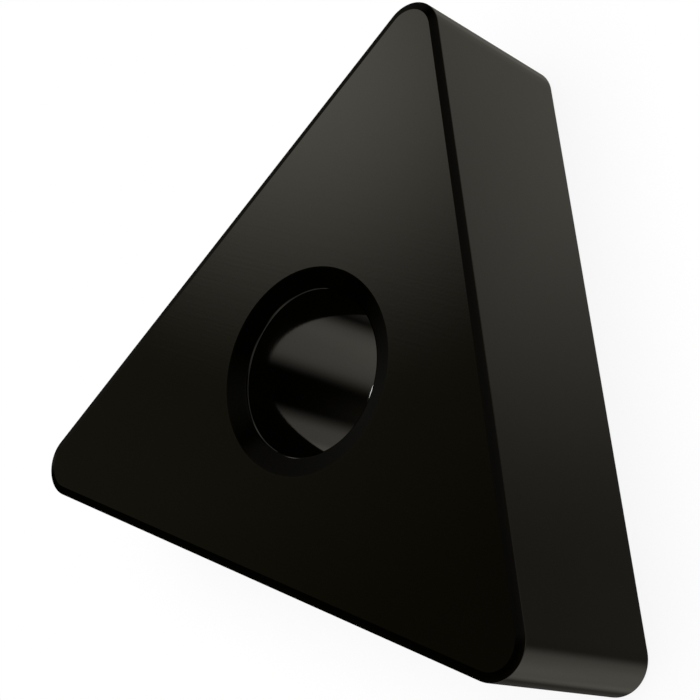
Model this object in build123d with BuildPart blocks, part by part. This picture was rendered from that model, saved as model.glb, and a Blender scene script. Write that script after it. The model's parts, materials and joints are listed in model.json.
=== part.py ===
"""Triangular indexable turning insert: one piece of sintered ceramic.

The insert lies on its seat face. The origin is where the axis of the pin hole meets the seat
plane, +Z runs up the hole to the rake face, and +Y points through one of the cutting corners.
Lengths are in millimetres and angles in degrees.
"""

import os
from math import isclose, radians, tan

from build123d import *

# The blank is an equilateral triangle with upright flanks, so the insert can be turned over.
INSCRIBED_CIRCLE = 9.525  # diameter of the circle that touches the three flanks
THICKNESS = 4.7625  # from the seat face to the rake face
NOSE_RADIUS = 0.8  # rounding of the three cutting corners

# A negative land is ground along the cutting edge, right round both faces.
LAND_WIDTH = 0.2  # measured in the plane of the face
LAND_ANGLE = 20.0  # from the plane of the face down towards the flank

# The lock pin of the tool holder goes through the middle. Both mouths are countersunk.
PIN_HOLE_DIAMETER = 3.81
COUNTERSINK_WIDTH = 0.5  # from the wall of the hole out to the rim
COUNTERSINK_ANGLE = 21.0  # from the plane of the face down into the hole
LIP_RADIUS = 0.1  # rounding where the countersink runs into the wall of the hole

LAND_DEPTH = LAND_WIDTH * tan(radians(LAND_ANGLE))
COUNTERSINK_DEPTH = COUNTERSINK_WIDTH * tan(radians(COUNTERSINK_ANGLE))
PIN_HOLE_RADIUS = PIN_HOLE_DIAMETER / 2
SEAT, RAKE = 0, -1  # places of the two flat faces, from the lowest to the highest


def is_lip(edge):
    """Whether an edge is a sharp circle where a countersink meets the wall of the hole."""
    return edge.geom_type == GeomType.CIRCLE and isclose(edge.radius, PIN_HOLE_RADIUS, abs_tol=1e-6)


with BuildPart() as cutting_insert:
    with BuildSketch() as outline:
        RegularPolygon(INSCRIBED_CIRCLE / 2, side_count=3, major_radius=False, rotation=90)
        fillet(outline.vertices(), NOSE_RADIUS)
    extrude(amount=THICKNESS)

    for end in (SEAT, RAKE):
        flat = cutting_insert.faces().filter_by(Axis.Z).sort_by(Axis.Z)[end]
        cutting_edge = flat.outer_wire().edges()
        chamfer(cutting_edge, length=LAND_WIDTH, length2=LAND_DEPTH, reference=flat)

    Hole(PIN_HOLE_RADIUS)
    for end in (SEAT, RAKE):
        flat = cutting_insert.faces().filter_by(Axis.Z).sort_by(Axis.Z)[end]
        mouth = flat.inner_wires()[0].edges()
        chamfer(mouth, length=COUNTERSINK_WIDTH, length2=COUNTERSINK_DEPTH, reference=flat)
    fillet(cutting_insert.edges().filter_by(is_lip), LIP_RADIUS)

os.makedirs("parts", exist_ok=True)
cutting_insert.part.label = "cutting_insert"
export_step(cutting_insert.part, "parts/cutting_insert.step")
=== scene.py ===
# %% [markdown]
# # A ceramic turning insert
#
# This scene shows one cutting insert for a lathe tool: a triangle of black sintered ceramic with
# rounded corners, a narrow bevelled land along its cutting edges, and a countersunk pin hole.
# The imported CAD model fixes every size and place, so the first cell loads it and notes its box.
# All lengths are in metres, as everywhere in Blender, so MM turns a drawing's numbers into metres.

import json
from math import cos, pi, radians, sin, tan

import bmesh
import bpy
from mathutils import Matrix, Vector


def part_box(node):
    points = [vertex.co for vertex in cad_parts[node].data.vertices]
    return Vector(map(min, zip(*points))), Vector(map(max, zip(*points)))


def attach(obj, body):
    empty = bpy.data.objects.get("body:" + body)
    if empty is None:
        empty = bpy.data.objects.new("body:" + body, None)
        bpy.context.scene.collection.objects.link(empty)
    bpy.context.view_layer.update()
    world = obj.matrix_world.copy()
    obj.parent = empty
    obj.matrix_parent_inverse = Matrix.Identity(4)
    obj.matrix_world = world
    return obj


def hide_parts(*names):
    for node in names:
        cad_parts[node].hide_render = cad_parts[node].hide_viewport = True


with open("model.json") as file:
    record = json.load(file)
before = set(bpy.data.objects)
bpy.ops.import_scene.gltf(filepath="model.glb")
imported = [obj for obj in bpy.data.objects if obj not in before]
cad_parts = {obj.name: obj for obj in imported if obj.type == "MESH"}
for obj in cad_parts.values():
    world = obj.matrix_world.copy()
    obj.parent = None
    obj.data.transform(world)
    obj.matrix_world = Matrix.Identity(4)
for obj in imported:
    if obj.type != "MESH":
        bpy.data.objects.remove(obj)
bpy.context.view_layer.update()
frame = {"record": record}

MM = 0.001
NODE = "cutting_insert"
low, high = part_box(NODE)
print("CAD box in mm:", [round(value / MM, 3) for value in (*low, *high)])

# %% [markdown]
# ## The sizes of the blank
#
# The height of the box is the thickness, and the flank at the front lies as far from the axis as
# the radius of the inscribed circle. The rounding of the corners and the land along the cutting
# edges are small grinding details that an insert maker gives in a drawing. The land slopes down
# from the end face, so its width and its angle say how deep the cutting edge lies below it.

# %% Sizes from the frame, and of the nose and the land
thickness = high.z - low.z
inscribed_radius = -low.y
NOSE_RADIUS = 0.8 * MM
LAND_WIDTH = 0.2 * MM
LAND_ANGLE = radians(20)
land_slope = tan(LAND_ANGLE)
land_depth = LAND_WIDTH * land_slope
print("thickness", round(thickness / MM, 4), "inscribed radius", round(inscribed_radius / MM, 4),
      "land depth", round(land_depth / MM, 4))

# %% [markdown]
# ## Helpers for picking faces and edges
#
# By hand, a modeller clicks on faces. In a script the same choice is made by asking where a face
# lies or which way it points. Everything else is deselected first, because an operator acts on
# all that is selected, and loading the frame leaves its nodes selected.

# %% Helpers
TOUCH = 1e-3 * MM


def deselect_all():
    """Leaves nothing selected, in object mode."""
    if bpy.context.mode != "OBJECT":
        bpy.ops.object.mode_set(mode="OBJECT")
    bpy.ops.object.select_all(action="DESELECT")


def pick(kind, wanted):
    """Selects, in edit mode, just the "faces" or "edges" for which wanted(element) is true."""
    bpy.ops.mesh.select_all(action="DESELECT")
    bpy.ops.mesh.select_mode(type={"faces": "FACE", "edges": "EDGE"}[kind])
    mesh = bpy.context.edit_object.data
    shape = bmesh.from_edit_mesh(mesh)
    for element in getattr(shape, kind):
        if wanted(element):
            element.select_set(True)
    shape.select_flush_mode()
    bmesh.update_edit_mesh(mesh)
    return sum(element.select for element in getattr(shape, kind))


print("points closer than", TOUCH / MM, "mm count as one")

# %% [markdown]
# ## The blank
#
# The flank is a band that runs round the insert: flat along each side, and bent to the nose
# radius at each corner. It is made the way a strip of metal would be formed. One upright edge is
# extruded along a side, then spun by a third of a turn about the centre of the corner, and so on
# three times round. The arcs come out as true circles, which a bevel on a sixty-degree corner
# doesn't give. The last edge lands on the first, and merging by distance closes the band.
#
# Smooth shading blends the normals of faces that meet, so where a flat runs into a curve the
# reflection on the whole flat would bend. A narrow holding strip on each side of every such
# border keeps the blend inside the strip. Along the flank the strips are short extrusions, and
# under the cutting edges they are two cuts through the first piece of the band. The cuts also
# leave room for the hone, the small rounding that the cutting edges are given last.

# %% The first piece of the band, along the front
SIDES = 3
HOLD = 0.02 * MM
HONE = 0.012 * MM
third = 2 * pi / SIDES
nose_distance = 2 * (inscribed_radius - NOSE_RADIUS)
side_length = 2 * nose_distance * sin(third / 2)
held_length = side_length - 2 * HOLD

deselect_all()
bpy.ops.mesh.primitive_plane_add(
    size=1, location=(0, -inscribed_radius, thickness / 2), rotation=(pi / 2, 0, 0))
insert = bpy.context.object
insert.name = insert.data.name = "ceramic_insert"
insert.scale = (held_length, thickness - 2 * land_depth, 1)
bpy.ops.object.transform_apply(location=True, rotation=True, scale=True)

bpy.ops.object.mode_set(mode="EDIT")
for height in (land_depth + HONE + HOLD, thickness - land_depth - HONE - HOLD):
    bpy.ops.mesh.select_all(action="SELECT")
    bpy.ops.mesh.bisect(plane_co=(0, 0, height), plane_no=(0, 0, 1), threshold=TOUCH)
print("front piece:", round(held_length / MM, 3), "mm long")

# %% Extrude along each side and spin round each corner
NOSE_STEPS = 48


def extrude_along(heading, length):
    """Extrudes the selected edges level, towards a heading counted from +X."""
    bpy.ops.mesh.extrude_region_move(TRANSFORM_OT_translate={
        "value": (length * cos(heading), length * sin(heading), 0)})


pick("edges", lambda edge: all(vert.co.x > held_length / 2 - TOUCH for vert in edge.verts))
for side in range(SIDES):
    corner = (side - 1 / 4) * third
    extrude_along(side * third, HOLD)
    bpy.ops.mesh.spin(
        steps=NOSE_STEPS, angle=-third, axis=(0, 0, 1),
        center=(nose_distance * cos(corner), nose_distance * sin(corner), 0))
    extrude_along((side + 1) * third, HOLD)
    if side < SIDES - 1:
        extrude_along((side + 1) * third, held_length)
bpy.ops.mesh.select_all(action="SELECT")
bpy.ops.mesh.remove_doubles(threshold=TOUCH)
print("band:", SIDES, "sides, and corners of", NOSE_STEPS, "steps")

# %% Fill the two ends of the band
edge_heights = (land_depth, thickness - land_depth)


def at_height(edge, height):
    """Whether both ends of an edge lie at this height."""
    return all(abs(vert.co.z - height) < TOUCH for vert in edge.verts)


for height in edge_heights:
    pick("edges", lambda edge: at_height(edge, height))
    bpy.ops.mesh.edge_face_add()
bpy.ops.mesh.select_all(action="SELECT")
bpy.ops.mesh.normals_make_consistent(inside=False)
bpy.ops.object.mode_set(mode="OBJECT")
print("blank:", len(insert.data.polygons), "faces,", len(insert.data.vertices), "points")

# %% [markdown]
# ## The lands
#
# Ceramic is hard but brittle, so its cutting edge is backed off by a narrow flat, the land.
# Inset draws a smaller outline inside each end face at an even distance, and its depth setting
# lifts that outline at the same time, which leaves the land as a sloping band round the edge.
# A first short inset leaves a holding strip beside the cutting edge.

# %% Inset the two end faces
LEVEL = 0.99  # least upright part of a level face's normal, where a land's is 0.94

bpy.ops.object.mode_set(mode="EDIT")
for side in (1, -1):
    ends = pick("faces", lambda face: face.normal.z * side > LEVEL)
    for width in (HONE + HOLD, LAND_WIDTH - HONE - HOLD):
        bpy.ops.mesh.inset(thickness=width, depth=width * land_slope, use_even_offset=True)
    print("inset", ends, "end face")

# %% [markdown]
# ## The pin hole
#
# The lock pin of the tool holder goes through the hole. Its mount in the CAD record states the
# radius, and the countersink and its rounded lip are grinding details again.
#
# The hole is round, so it grows from one circle: each ring is extruded from the one before, then
# widened or narrowed to its radius. The first ring is the rim of the countersink. The cone runs
# in to the lip, a small arc turns it into the wall, and the far side repeats that in reverse.
# On each side of the lip one more ring is a holding strip.

# %% Sizes of the hole and its countersinks
mounts = {mount["name"]: mount for mount in frame["record"]["mounts"]}
hole_radius = mounts["pin_hole"]["dims"]["r_mm"] * MM
COUNTERSINK_WIDTH = 0.5 * MM
COUNTERSINK_ANGLE = radians(21)
LIP_RADIUS = 0.1 * MM
countersink_depth = COUNTERSINK_WIDTH * tan(COUNTERSINK_ANGLE)
rim_radius = hole_radius + COUNTERSINK_WIDTH
print("hole radius", round(hole_radius / MM, 4), "rim radius", round(rim_radius / MM, 4),
      "countersink depth", round(countersink_depth / MM, 4))

# %% Rings of the hole, from the rim on the rake face down to the rim on the seat face
LIP_STEPS = 12


def hole_rings():
    """Radius and height of every ring of the hole, from the top rim to the bottom rim."""
    turn = pi / 2 - COUNTERSINK_ANGLE
    tangent = LIP_RADIUS * tan(turn / 2)
    centre = Vector((hole_radius + LIP_RADIUS, countersink_depth + tangent))
    arc = []
    for step in range(LIP_STEPS + 1):
        angle = turn * (1 - step / LIP_STEPS)
        arc.append((centre.x - LIP_RADIUS * cos(angle), centre.y - LIP_RADIUS * sin(angle)))
    cone_hold = (arc[0][0] + HOLD * cos(COUNTERSINK_ANGLE), arc[0][1] - HOLD * sin(COUNTERSINK_ANGLE))
    wall_hold = (hole_radius, arc[-1][1] + HOLD)
    depths = [(rim_radius, 0.0), cone_hold, *arc, wall_hold]
    upper = [(radius, thickness - depth) for radius, depth in depths]
    lower = [(radius, depth) for radius, depth in reversed(depths)]
    return upper + lower


rings = hole_rings()
wall_start = len(rings) // 2 - 2
print(len(rings), "rings; wall length in mm:",
      round((rings[wall_start][1] - rings[-wall_start - 1][1]) / MM, 4))

# %% Open the end faces and sink the hole
HOLE_POINTS = 180


def is_level(face):
    """Whether a face lies level, as the end faces do and the sloping lands don't."""
    return abs(face.normal.z) > LEVEL


print("opened", pick("faces", is_level), "end faces")
bpy.ops.mesh.delete(type="ONLY_FACE")
bpy.ops.mesh.select_all(action="DESELECT")
bpy.ops.mesh.select_mode(type="EDGE")
bpy.ops.mesh.primitive_circle_add(
    vertices=HOLE_POINTS, radius=rings[0][0], fill_type="NOTHING", location=(0, 0, rings[0][1]))
for (radius, height), (next_radius, next_height) in zip(rings, rings[1:]):
    bpy.ops.mesh.extrude_region_move(
        TRANSFORM_OT_translate={"value": (0, 0, next_height - height)})
    grow = next_radius / radius
    bpy.ops.transform.resize(value=(grow, grow, 1), center_override=(0, 0, next_height))

for height in (0.0, thickness):
    loops = pick("edges", lambda edge: edge.is_boundary and at_height(edge, height))
    bpy.ops.mesh.bridge_edge_loops()
    print("bridged", loops, "edges at height", round(height / MM, 3))
bpy.ops.mesh.select_all(action="SELECT")
bpy.ops.mesh.normals_make_consistent(inside=False)

# %% [markdown]
# ## The honed edges
#
# No real edge is perfectly sharp. After grinding, the cutting edges are brushed, which rounds
# them by about a hundredth of a millimetre: enough for a thin glint when light runs along them.

# %% Bevel the cutting edges
HONE_STEPS = 6


def from_axis(edge):
    """How far the middle of an edge lies from the axis of the pin hole."""
    return ((edge.verts[0].co + edge.verts[1].co) / 2).xy.length


honed = pick("edges", lambda edge: from_axis(edge) > rim_radius
             and any(at_height(edge, height) for height in edge_heights))
bpy.ops.mesh.bevel(offset=HONE, segments=HONE_STEPS, profile=0.5, affect="EDGES")
print("honed", honed, "edges")
bpy.ops.object.mode_set(mode="OBJECT")

# %% [markdown]
# ## Shading
#
# The corner arcs, the lips and the hole are round, so they are shaded smooth. The border between
# land and face, and the rim of each countersink, are ground crisp. Both turn by about twenty
# degrees, so smooth shading up to fifteen degrees keeps them sharp and leaves the rest soft.

# %% Smooth by angle, and a look at how true the normals are
SMOOTH_UP_TO = radians(15)

bpy.ops.object.shade_smooth_by_angle(angle=SMOOTH_UP_TO)
normals = insert.data.corner_normals
wall_tilt = max(abs(normals[loop].vector.z)
                for face in insert.data.polygons if face.center.xy.length < hole_radius
                for loop in face.loop_indices if face.area > HOLD * thickness)
print("insert:", len(insert.data.polygons), "faces; tilt on the wall", round(wall_tilt, 6))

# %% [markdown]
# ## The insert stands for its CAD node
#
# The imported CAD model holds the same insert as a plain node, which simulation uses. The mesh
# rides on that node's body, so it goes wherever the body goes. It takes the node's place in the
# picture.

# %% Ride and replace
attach(insert, "root")
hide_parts(NODE)

# %% [markdown]
# ## The floor
#
# The insert lies on a sheet of opal glass that is lit from below, as small products are often
# shot, so the floor glows an even white. Such a floor casts no hard shadow. Ambient Occlusion
# measures how much of the sky a point of the floor can see, and a little of it is mixed in, so
# that the floor turns softly darker just where the insert stands on it.
#
# The glowing sheet would also show in the black ceramic as a bright mirror image. Dark felt laid
# round a shiny object prevents that in a studio. Here the floor is hidden from glossy rays.

# %% The opal sheet
FLOOR_SIZE = 0.6

deselect_all()
bpy.ops.mesh.primitive_plane_add(size=FLOOR_SIZE, location=(0, 0, low.z))
floor = bpy.context.object
floor.name = floor.data.name = "opal_floor"
floor.visible_glossy = False
floor.visible_shadow = False
floor.visible_transmission = False
print("floor", FLOOR_SIZE, "m square")

# %% Opal glass, a little darker where the insert stands
CONTACT_REACH = 3 * MM
CONTACT_SHADE = 0.15

opal = bpy.data.materials.new("opal_glass")
opal.use_nodes = True
nodes, link = opal.node_tree.nodes, opal.node_tree.links.new
occlusion = nodes.new("ShaderNodeAmbientOcclusion")
occlusion.inputs["Distance"].default_value = CONTACT_REACH
shade = nodes.new("ShaderNodeMapRange")
shade.inputs["To Min"].default_value = 1 - CONTACT_SHADE
link(occlusion.outputs["AO"], shade.inputs["Value"])
glow = nodes["Principled BSDF"]
glow.inputs["Base Color"].default_value = (0, 0, 0, 1)
glow.inputs["Specular IOR Level"].default_value = 0
glow.inputs["Emission Color"].default_value = (1, 1, 1, 1)
link(shade.outputs["Result"], glow.inputs["Emission Strength"])
floor.data.materials.append(opal)
print("opal glass:", len(nodes), "nodes, shade", CONTACT_SHADE, "within", CONTACT_REACH / MM, "mm")

# %% [markdown]
# ## The camera
#
# The camera looks down on the rake face from the right, rolled so that one corner points up. It
# is placed the way a tripod is set: aim at a point, turn to the azimuth, tilt to the elevation,
# roll, then step back. A long lens from close by gives the strong but clean perspective. The
# shift slides the frame a little sideways and down without turning the camera.

# %% Aim, turn, tilt, roll and step back
AIM = Vector((0.27 * MM, 1.30 * MM, high.z))
AZIMUTH = radians(86.57)
ELEVATION = radians(46.43)
ROLL = radians(-70.39)
DISTANCE = 35.71 * MM
FOCAL_LENGTH = 82.45  # a lens and a sensor are given in millimetres
SENSOR_WIDTH = 36
SHIFT = Vector((0.0291, -0.0472))  # as shares of the picture's width
NEAREST = 1 * MM
FARTHEST = 10

camera_data = bpy.data.cameras.new("camera")
camera = bpy.data.objects.new("camera", camera_data)
bpy.context.collection.objects.link(camera)
camera.matrix_world = (
    Matrix.Translation(AIM)
    @ Matrix.Rotation(AZIMUTH, 4, "Z")
    @ Matrix.Rotation(pi / 2 - ELEVATION, 4, "X")
    @ Matrix.Rotation(ROLL, 4, "Z")
    @ Matrix.Translation((0, 0, DISTANCE)))
camera_data.lens = FOCAL_LENGTH
camera_data.sensor_width = SENSOR_WIDTH
camera_data.shift_x = SHIFT.x
camera_data.shift_y = SHIFT.y
camera_data.clip_start = NEAREST
camera_data.clip_end = FARTHEST
bpy.context.scene.camera = camera
bpy.context.scene.view_settings.view_transform = "Standard"
print("camera at", [round(value / MM, 2) for value in camera.matrix_world.translation])

# %% [markdown]
# ## Helpers for node groups
#
# A node group is a small network with its own named inputs and outputs, which can be placed many
# times. The lamps, the marks on the ceramic and its wear are all made as groups, so three
# helpers come first: one feeds a socket, one makes an empty group and one adds a Math node.

# %% Feed a socket, make a group, add a Math node
def feed(tree, socket, value):
    """Links an input socket to another socket, or sets it to a plain value."""
    if isinstance(value, bpy.types.NodeSocket):
        tree.links.new(value, socket)
    else:
        socket.default_value = value


def socket_group(name, inputs, outputs):
    """An empty shader node group with named sockets, and its input and output nodes."""
    group = bpy.data.node_groups.new(name, "ShaderNodeTree")
    for socket, kind in inputs:
        group.interface.new_socket(socket, in_out="INPUT", socket_type="NodeSocket" + kind)
    for socket, kind in outputs:
        group.interface.new_socket(socket, in_out="OUTPUT", socket_type="NodeSocket" + kind)
    return group, group.nodes.new("NodeGroupInput"), group.nodes.new("NodeGroupOutput")


def math_node(tree, operation, *values):
    """A Math node with its inputs fed, and its output socket."""
    node = tree.nodes.new("ShaderNodeMath")
    node.operation = operation
    for socket, value in zip(node.inputs, values):
        feed(tree, socket, value)
    return node.outputs[0]


print("helpers:", feed.__name__, socket_group.__name__, math_node.__name__)

# %% [markdown]
# ## Soft studio light
#
# Black polished ceramic shows hardly any colour of its own: what is seen is the reflection of
# the lamps. Area lamps could be hung round the insert, but their square edges would show. Here
# every lamp is a round glow painted on the sky, brightest at its middle and fading smoothly out
# at its rim, like a softbox behind thick cloth. One node group makes such a glow, and a short
# list says where each one hangs. The side and upper lamps hang where the camera sees almost
# nothing mirrored: they shape the insert when it is looked at from elsewhere.

# %% A node group for one soft lamp
def soft_lamp_group():
    """A glow round the direction Aim: full inside Core, gone beyond Rim, both in radians."""
    group, given, made = socket_group(
        "soft_lamp",
        (("Direction", "Vector"), ("Aim", "Vector"), ("Core", "Float"), ("Rim", "Float"),
         ("Strength", "Float")),
        (("Light", "Float"),))
    link = group.links.new
    unit = group.nodes.new("ShaderNodeVectorMath")
    unit.operation = "NORMALIZE"
    link(given.outputs["Direction"], unit.inputs[0])
    dot = group.nodes.new("ShaderNodeVectorMath")
    dot.operation = "DOT_PRODUCT"
    link(unit.outputs["Vector"], dot.inputs[0])
    link(given.outputs["Aim"], dot.inputs[1])
    fade = group.nodes.new("ShaderNodeMapRange")
    fade.interpolation_type = "SMOOTHSTEP"
    link(math_node(group, "ARCCOSINE", dot.outputs["Value"]), fade.inputs["Value"])
    link(given.outputs["Rim"], fade.inputs["From Min"])
    link(given.outputs["Core"], fade.inputs["From Max"])
    link(given.outputs["Strength"], fade.inputs["To Max"])
    link(fade.outputs["Result"], made.inputs["Light"])
    return group


lamp_group = soft_lamp_group()
print("lamp group:", len(lamp_group.nodes), "nodes")

# %% [markdown]
# ## A glow along the horizon
#
# The rounded lip of the hole is so small that it mirrors almost the whole studio in a line no
# wider than a hair. Round lamps would leave gaps in that line. White card stood round the table
# would fill it, and a band of light all round the sky does the same. It is soft at its upper and
# lower border, and can stop short of the back, where the flat land would catch it.

# %% A node group for the glow along the horizon
def horizon_group():
    """A band of light all round, between two heights of the direction, soft at both borders."""
    group, given, made = socket_group(
        "horizon",
        (("Direction", "Vector"), ("Bottom", "Float"), ("Top", "Float"), ("Back", "Float"),
         ("Softness", "Float"), ("Strength", "Float")),
        (("Light", "Float"),))
    parts = group.nodes.new("ShaderNodeSeparateXYZ")
    group.links.new(given.outputs["Direction"], parts.inputs[0])
    light = given.outputs["Strength"]
    for border, axis, inward in (("Bottom", "Z", "ADD"), ("Top", "Z", "SUBTRACT"), ("Back", "X", "ADD")):
        inner = math_node(group, inward, given.outputs[border], given.outputs["Softness"])
        fade = group.nodes.new("ShaderNodeMapRange")
        fade.interpolation_type = "SMOOTHSTEP"
        group.links.new(parts.outputs[axis], fade.inputs["Value"])
        group.links.new(given.outputs[border], fade.inputs["From Min"])
        group.links.new(inner, fade.inputs["From Max"])
        light = math_node(group, "MULTIPLY", light, fade.outputs["Result"])
    group.links.new(light, made.inputs["Light"])
    return group


band_group = horizon_group()
print("horizon group:", len(band_group.nodes), "nodes")

# %% The lamps: tint, azimuth from +X, elevation, core and rim in degrees, and strength
PEARL = (1, 0.96, 0.83)
AMBER = (1, 0.81, 0.36)
LAMPS = {
    "key behind the insert": (PEARL, 165, 42, 0, 12.6, 1.18),
    "glow round the key": (PEARL, 161, 26, 26, 36, 0.05),
    "wash on the rake face": (AMBER, 180, 47, 18, 28, 0.063),
    "small lamp for the lip": (PEARL, 146.5, 24, 0, 6, 1.8),
    "low front, for nose and hole": (PEARL, -46, -54, 20, 36, 0.38),
    "wide front, for nose and hole": (PEARL, -42, -21, 27, 46, 0.34),
    "low back, for the flank": (PEARL, 80, -47, 0, 19.4, 0.435),
    "low back, for the far nose": (PEARL, 107, -46, 0, 18, 0.3),
    "low back, for the far edge": (PEARL, 135, -46, 6, 24, 0.2),
    "glow from below": (PEARL, 46, -80, 28, 34, 0.085),
    "glow from the low left": (PEARL, -125, -57, 5, 23, 0.07),
    "high glow, for the lands": (PEARL, 87, 64, 4, 28, 0.068),
    "side lamp, front": (PEARL, -92, -14, 3, 22, 0.5),
    "side lamp, front right": (PEARL, -38, -13, 3, 22, 0.6),
    "side lamp, right": (PEARL, 14, -13, 3, 21, 0.55),
    "side lamp, back right": (PEARL, 64, -13, 3, 17, 0.35),
    "side lamp, back": (PEARL, 112, -12, 3, 19, 0.5),
    "side lamp, left": (PEARL, 166, -20, 3, 16, 0.5),
    "side lamp, front left": (PEARL, -142, -19, 3, 15, 0.4),
    "upper lamp, front": (PEARL, -68, 32, 4, 26, 0.45),
    "upper lamp, right": (PEARL, 0, 33, 4, 28, 0.4),
    "upper lamp, back": (PEARL, 94, 19, 3, 17, 0.5),
}
print("lamps:", len(LAMPS))

# %% The bands: bottom and top in degrees, how far back as the least x, softness, and strength
BANDS = {
    "low band, all round": (-38, -3, -2, 0.2, 0.2),
    "front band": (-8, 17, -0.62, 0.06, 0.36),
    "high front band": (16, 27, -0.5, 0.1, 0.24),
}
print("bands:", len(BANDS))

# %% Hang the lamps and the bands on the sky
world = bpy.data.worlds.new("studio")
bpy.context.scene.world = world
world.use_nodes = True
nodes, link = world.node_tree.nodes, world.node_tree.links.new
nodes.clear()
direction = nodes.new("ShaderNodeTexCoord").outputs["Generated"]


def place(tree, group, values):
    """Puts a node group in a tree, with its inputs fed by name, and returns its output."""
    node = tree.nodes.new("ShaderNodeGroup")
    node.node_tree = group
    for name, value in values.items():
        feed(tree, node.inputs[name], value)
    return node.outputs[0]


def tinted(light, tint):
    """Gives the light of a lamp or a band its tint."""
    colour = nodes.new("ShaderNodeVectorMath")
    colour.operation = "SCALE"
    colour.inputs[0].default_value = tint
    link(light, colour.inputs["Scale"])
    return colour.outputs["Vector"]


lights = []
for name, (tint, azimuth, elevation, core, rim, strength) in LAMPS.items():
    turn, rise = radians(azimuth), radians(elevation)
    aim = (cos(turn) * cos(rise), sin(turn) * cos(rise), sin(rise))
    glow = place(world.node_tree, lamp_group, {
        "Direction": direction, "Aim": aim, "Core": radians(core), "Rim": radians(rim),
        "Strength": strength})
    glow.node.label = name
    lights.append(tinted(glow, tint))
for name, (bottom, top, back, softness, strength) in BANDS.items():
    glow = place(world.node_tree, band_group, {
        "Direction": direction, "Bottom": sin(radians(bottom)),
        "Top": sin(radians(top)) + softness / 2, "Back": back, "Softness": softness,
        "Strength": strength})
    glow.node.label = name
    lights.append(tinted(glow, PEARL))
print("lights on the sky:", len(lights))

# %% Add them up
total = lights[0]
for light in lights[1:]:
    add = nodes.new("ShaderNodeVectorMath")
    link(total, add.inputs[0])
    link(light, add.inputs[1])
    total = add.outputs["Vector"]
print("world nodes so far:", len(nodes))

# %% [markdown]
# ## Dark second reflections
#
# The pin hole is narrow and its wall is glossy, so a ray can bounce from side to side in it and
# bring back each lamp several times, which fills the hole with pale streaks. Light Path counts
# the reflections, and the sky is switched off after the first one, so the hole stays deep and
# dark. That isn't how light behaves, but a choice of look that keeps the shape of the wall clear.
# Camera rays that miss the insert see plain white, as on a lit studio background.

# %% First reflections only, and plain white behind the insert
ONE_REFLECTION = 1.5  # between a count of one and a count of two

seen = nodes.new("ShaderNodeLightPath")
sky = nodes.new("ShaderNodeBackground")
link(total, sky.inputs["Color"])
link(math_node(world.node_tree, "LESS_THAN", seen.outputs["Glossy Depth"], ONE_REFLECTION),
     sky.inputs["Strength"])
backdrop = nodes.new("ShaderNodeBackground")
backdrop.inputs["Color"].default_value = (1, 1, 1, 1)
choose = nodes.new("ShaderNodeMixShader")
link(seen.outputs["Is Camera Ray"], choose.inputs["Fac"])
link(sky.outputs[0], choose.inputs[1])
link(backdrop.outputs[0], choose.inputs[2])
link(choose.outputs[0], nodes.new("ShaderNodeOutputWorld").inputs["Surface"])
print("world nodes:", len(nodes))

# %% [markdown]
# ## The finish of the ceramic
#
# The insert is one piece of alumina and titanium carbide, pressed, sintered and then ground. The
# body is the same near-black all through, so the finishes differ only in how they were made:
#
# - the two end faces are ground flat on a fine cup wheel, which leaves faint straight marks;
# - the flanks and lands are ground round the edge, so their marks run along the edge;
# - the hole is left as it came from the sintering furnace, with a fine grain and no marks.
#
# An image wrapped round the insert could show this, but would look soft from close by. Noise
# that the shader works out at every point stays sharp at any distance. All patterns read Object
# coordinates, so they stay on the ceramic when the insert moves. Their relief is less than a
# thousandth of a millimetre deep: it only makes the reflections tremble a little.

# %% Node group: mottle, one value that varies in spots of a given size
MOTTLE_DETAIL = 4


def mottle_group():
    """Soft spots of the size Spot, from 0 to 1, in three dimensions."""
    group, given, made = socket_group(
        "mottle", (("Position", "Vector"), ("Spot", "Float")), (("Mottle", "Float"),))
    noise = group.nodes.new("ShaderNodeTexNoise")
    noise.inputs["Detail"].default_value = MOTTLE_DETAIL
    group.links.new(given.outputs["Position"], noise.inputs["Vector"])
    group.links.new(math_node(group, "DIVIDE", 1.0, given.outputs["Spot"]), noise.inputs["Scale"])
    group.links.new(noise.outputs["Fac"], made.inputs["Mottle"])
    return group


mottle = mottle_group()
print("mottle:", len(mottle.nodes), "nodes")

# %% Node group: grinding marks, noise drawn out along one direction
MARKS_DETAIL = 3


def grinding_group():
    """Streaks: Pitch is their size across and along each axis of the object."""
    group, given, made = socket_group(
        "grinding_marks", (("Position", "Vector"), ("Pitch", "Vector")), (("Marks", "Float"),))
    divide = group.nodes.new("ShaderNodeVectorMath")
    divide.operation = "DIVIDE"
    group.links.new(given.outputs["Position"], divide.inputs[0])
    group.links.new(given.outputs["Pitch"], divide.inputs[1])
    noise = group.nodes.new("ShaderNodeTexNoise")
    noise.inputs["Scale"].default_value = 1
    noise.inputs["Detail"].default_value = MARKS_DETAIL
    group.links.new(divide.outputs["Vector"], noise.inputs["Vector"])
    group.links.new(noise.outputs["Fac"], made.inputs["Marks"])
    return group


grinding = grinding_group()
print("grinding marks:", len(grinding.nodes), "nodes")

# %% Node group: edge wear, a mask that fades away from an edge and is broken up by mottle
def wear_group():
    """One at the edge, nothing beyond Reach; Breakup eats into it."""
    group, given, made = socket_group(
        "edge_wear", (("Distance", "Float"), ("Reach", "Float"), ("Breakup", "Float")),
        (("Wear", "Float"),))
    fade = group.nodes.new("ShaderNodeMapRange")
    fade.interpolation_type = "SMOOTHSTEP"
    fade.inputs["To Min"].default_value = 1
    fade.inputs["To Max"].default_value = 0
    group.links.new(given.outputs["Distance"], fade.inputs["Value"])
    group.links.new(given.outputs["Reach"], fade.inputs["From Max"])
    group.links.new(
        math_node(group, "MULTIPLY", fade.outputs["Result"], given.outputs["Breakup"]),
        made.inputs["Wear"])
    return group


wear = wear_group()
print("edge wear:", len(wear.nodes), "nodes")

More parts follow.
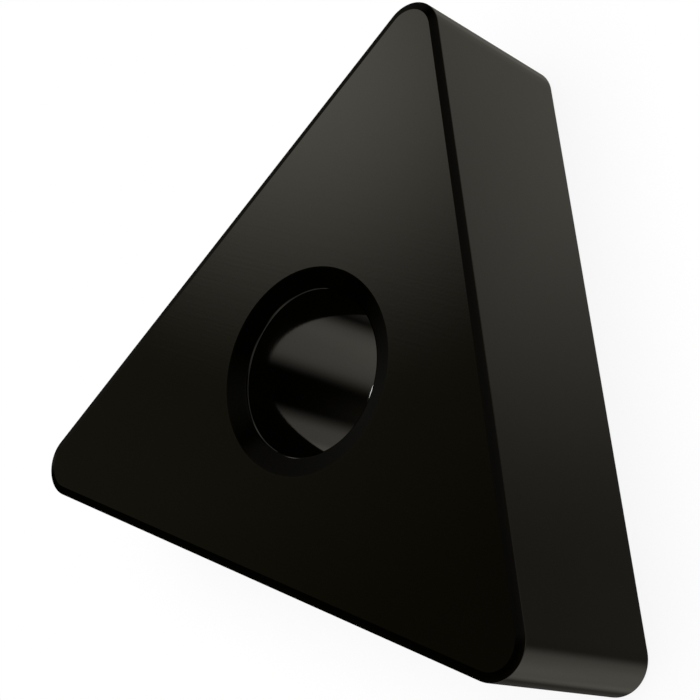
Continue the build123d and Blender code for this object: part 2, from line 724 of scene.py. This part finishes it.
# %% [markdown]
# ## One function for the three finishes
#
# Each finish places the same groups with its own values. The mottle shifts the black a shade
# warmer or cooler and the gloss a little up or down. Marks and grain make the relief. Wear
# lightens and dulls the ceramic within a few hundredths of a millimetre of an edge.

# %% A ceramic material
BLACK_COOL = (0.0024, 0.0022, 0.0014, 1)
BLACK_WARM = (0.0036, 0.0031, 0.0016, 1)
WORN = (0.012, 0.011, 0.009, 1)
MOTTLE_SPOT = 1.1 * MM
GRAIN_SPOT = 0.05 * MM
WEAR_REACH = 0.05 * MM
WEAR_DULLS = 0.04


def blend(tree, factor, first, second):
    """Mixes two colours, each a socket or a value."""
    mix = tree.nodes.new("ShaderNodeMix")
    mix.data_type = "RGBA"
    first_colour, second_colour = mix.inputs[6], mix.inputs[7]
    feed(tree, mix.inputs["Factor"], factor)
    feed(tree, first_colour, first)
    feed(tree, second_colour, second)
    return mix.outputs[2]


def ceramic(name, edge_distance, pitch, relief, marks_share, gloss):
    """A finish: marks of a pitch and relief, and roughness between the two values of gloss."""
    material = bpy.data.materials.new(name)
    material.use_nodes = True
    tree = material.node_tree
    shader = tree.nodes["Principled BSDF"]
    position = tree.nodes.new("ShaderNodeTexCoord").outputs["Object"]
    cloud = place(tree, mottle, {"Position": position, "Spot": MOTTLE_SPOT})
    grain = place(tree, mottle, {"Position": position, "Spot": GRAIN_SPOT})
    marks = place(tree, grinding, {"Position": position, "Pitch": pitch})
    worn = place(tree, wear, {
        "Distance": edge_distance(tree, position), "Reach": WEAR_REACH, "Breakup": cloud})

    black = blend(tree, cloud, BLACK_COOL, BLACK_WARM)
    feed(tree, shader.inputs["Base Color"], blend(tree, worn, black, WORN))

    polish = tree.nodes.new("ShaderNodeMapRange")
    polish.inputs["To Min"].default_value, polish.inputs["To Max"].default_value = gloss
    uneven = math_node(tree, "MULTIPLY", math_node(tree, "ADD", marks, cloud), 0.5)
    feed(tree, polish.inputs["Value"], uneven)
    dulled = math_node(tree, "MULTIPLY_ADD", worn, WEAR_DULLS, polish.outputs["Result"])
    feed(tree, shader.inputs["Roughness"], dulled)

    bump = tree.nodes.new("ShaderNodeBump")
    bump.inputs["Distance"].default_value = relief
    height = math_node(tree, "MULTIPLY_ADD", marks, marks_share, grain)
    feed(tree, bump.inputs["Height"], height)
    feed(tree, shader.inputs["Normal"], bump.outputs["Normal"])
    return material


print("mottle spots of", MOTTLE_SPOT / MM, "mm, grain of", GRAIN_SPOT / MM, "mm, wear within",
      WEAR_REACH / MM, "mm of an edge")

# %% [markdown]
# ## Where the ceramic wears
#
# Handling rubs the cutting edges and the rims of the countersinks first. Both have a simple
# place: the cutting edges lie at two heights, and the rims at one distance from the axis. So a
# material can work out from the Object coordinates how far each of its points is from an edge.

# %% Distances to the edges that wear
def from_cutting_edge(tree, position):
    """How far a point lies above or below the nearer cutting edge."""
    parts = tree.nodes.new("ShaderNodeSeparateXYZ")
    tree.links.new(position, parts.inputs[0])
    from_middle = math_node(tree, "SUBTRACT", parts.outputs["Z"], thickness / 2)
    to_edge = math_node(tree, "SUBTRACT", math_node(tree, "ABSOLUTE", from_middle),
                        thickness / 2 - land_depth)
    return math_node(tree, "ABSOLUTE", to_edge)


def from_rim(tree, position):
    """How far a point lies from the rim of the countersink, measured level."""
    flat = tree.nodes.new("ShaderNodeVectorMath")
    flat.operation = "MULTIPLY"
    flat.inputs[1].default_value = (1, 1, 0)
    tree.links.new(position, flat.inputs[0])
    length = tree.nodes.new("ShaderNodeVectorMath")
    length.operation = "LENGTH"
    tree.links.new(flat.outputs["Vector"], length.inputs[0])
    to_rim = math_node(tree, "SUBTRACT", length.outputs["Value"], rim_radius)
    return math_node(tree, "ABSOLUTE", to_rim)


print("cutting edges at heights of", [round(height / MM, 4) for height in edge_heights], "mm")

# %% [markdown]
# ## The three finishes
#
# The same function now makes all three. The marks are drawn out along X on the end faces and
# level round the flanks. In the hole they are equally fine every way and make no relief. A face
# is then given its finish by where it lies and which way it points.

# %% The three materials
LONG = 3 * MM
FINE = 0.06 * MM
GROUND_RELIEF = 0.0003 * MM
SINTERED_RELIEF = 0.0002 * MM
GROUND_GLOSS = (0.055, 0.08)
SINTERED_GLOSS = (0.05, 0.075)
FINISHES = {
    "ground_end_face": (from_rim, (LONG, FINE, LONG), GROUND_RELIEF, 1.0, GROUND_GLOSS),
    "ground_edge": (from_cutting_edge, (LONG, LONG, FINE), GROUND_RELIEF, 1.0, GROUND_GLOSS),
    "sintered_hole": (from_rim, (FINE, FINE, FINE), SINTERED_RELIEF, 0.0, SINTERED_GLOSS),
}

deselect_all()
insert.select_set(True)
bpy.context.view_layer.objects.active = insert
for name, settings in FINISHES.items():
    insert.data.materials.append(ceramic(name, *settings))
print("finishes:", [material.name for material in insert.data.materials])

# %% Give each face its finish
def in_hole(face):
    """Whether a face lies in the hole or its countersinks."""
    return face.calc_center_median().xy.length < rim_radius and not is_level(face)


def on_edge(face):
    """Whether a face belongs to a flank, a land or a honed edge."""
    return face.calc_center_median().xy.length > rim_radius and not is_level(face)


bpy.ops.object.mode_set(mode="EDIT")
for finish, wanted in (("ground_edge", on_edge), ("sintered_hole", in_hole)):
    count = pick("faces", wanted)
    insert.active_material_index = insert.material_slots.find(finish)
    bpy.ops.object.material_slot_assign()
    print(finish, count, "faces")
bpy.ops.object.mode_set(mode="OBJECT")
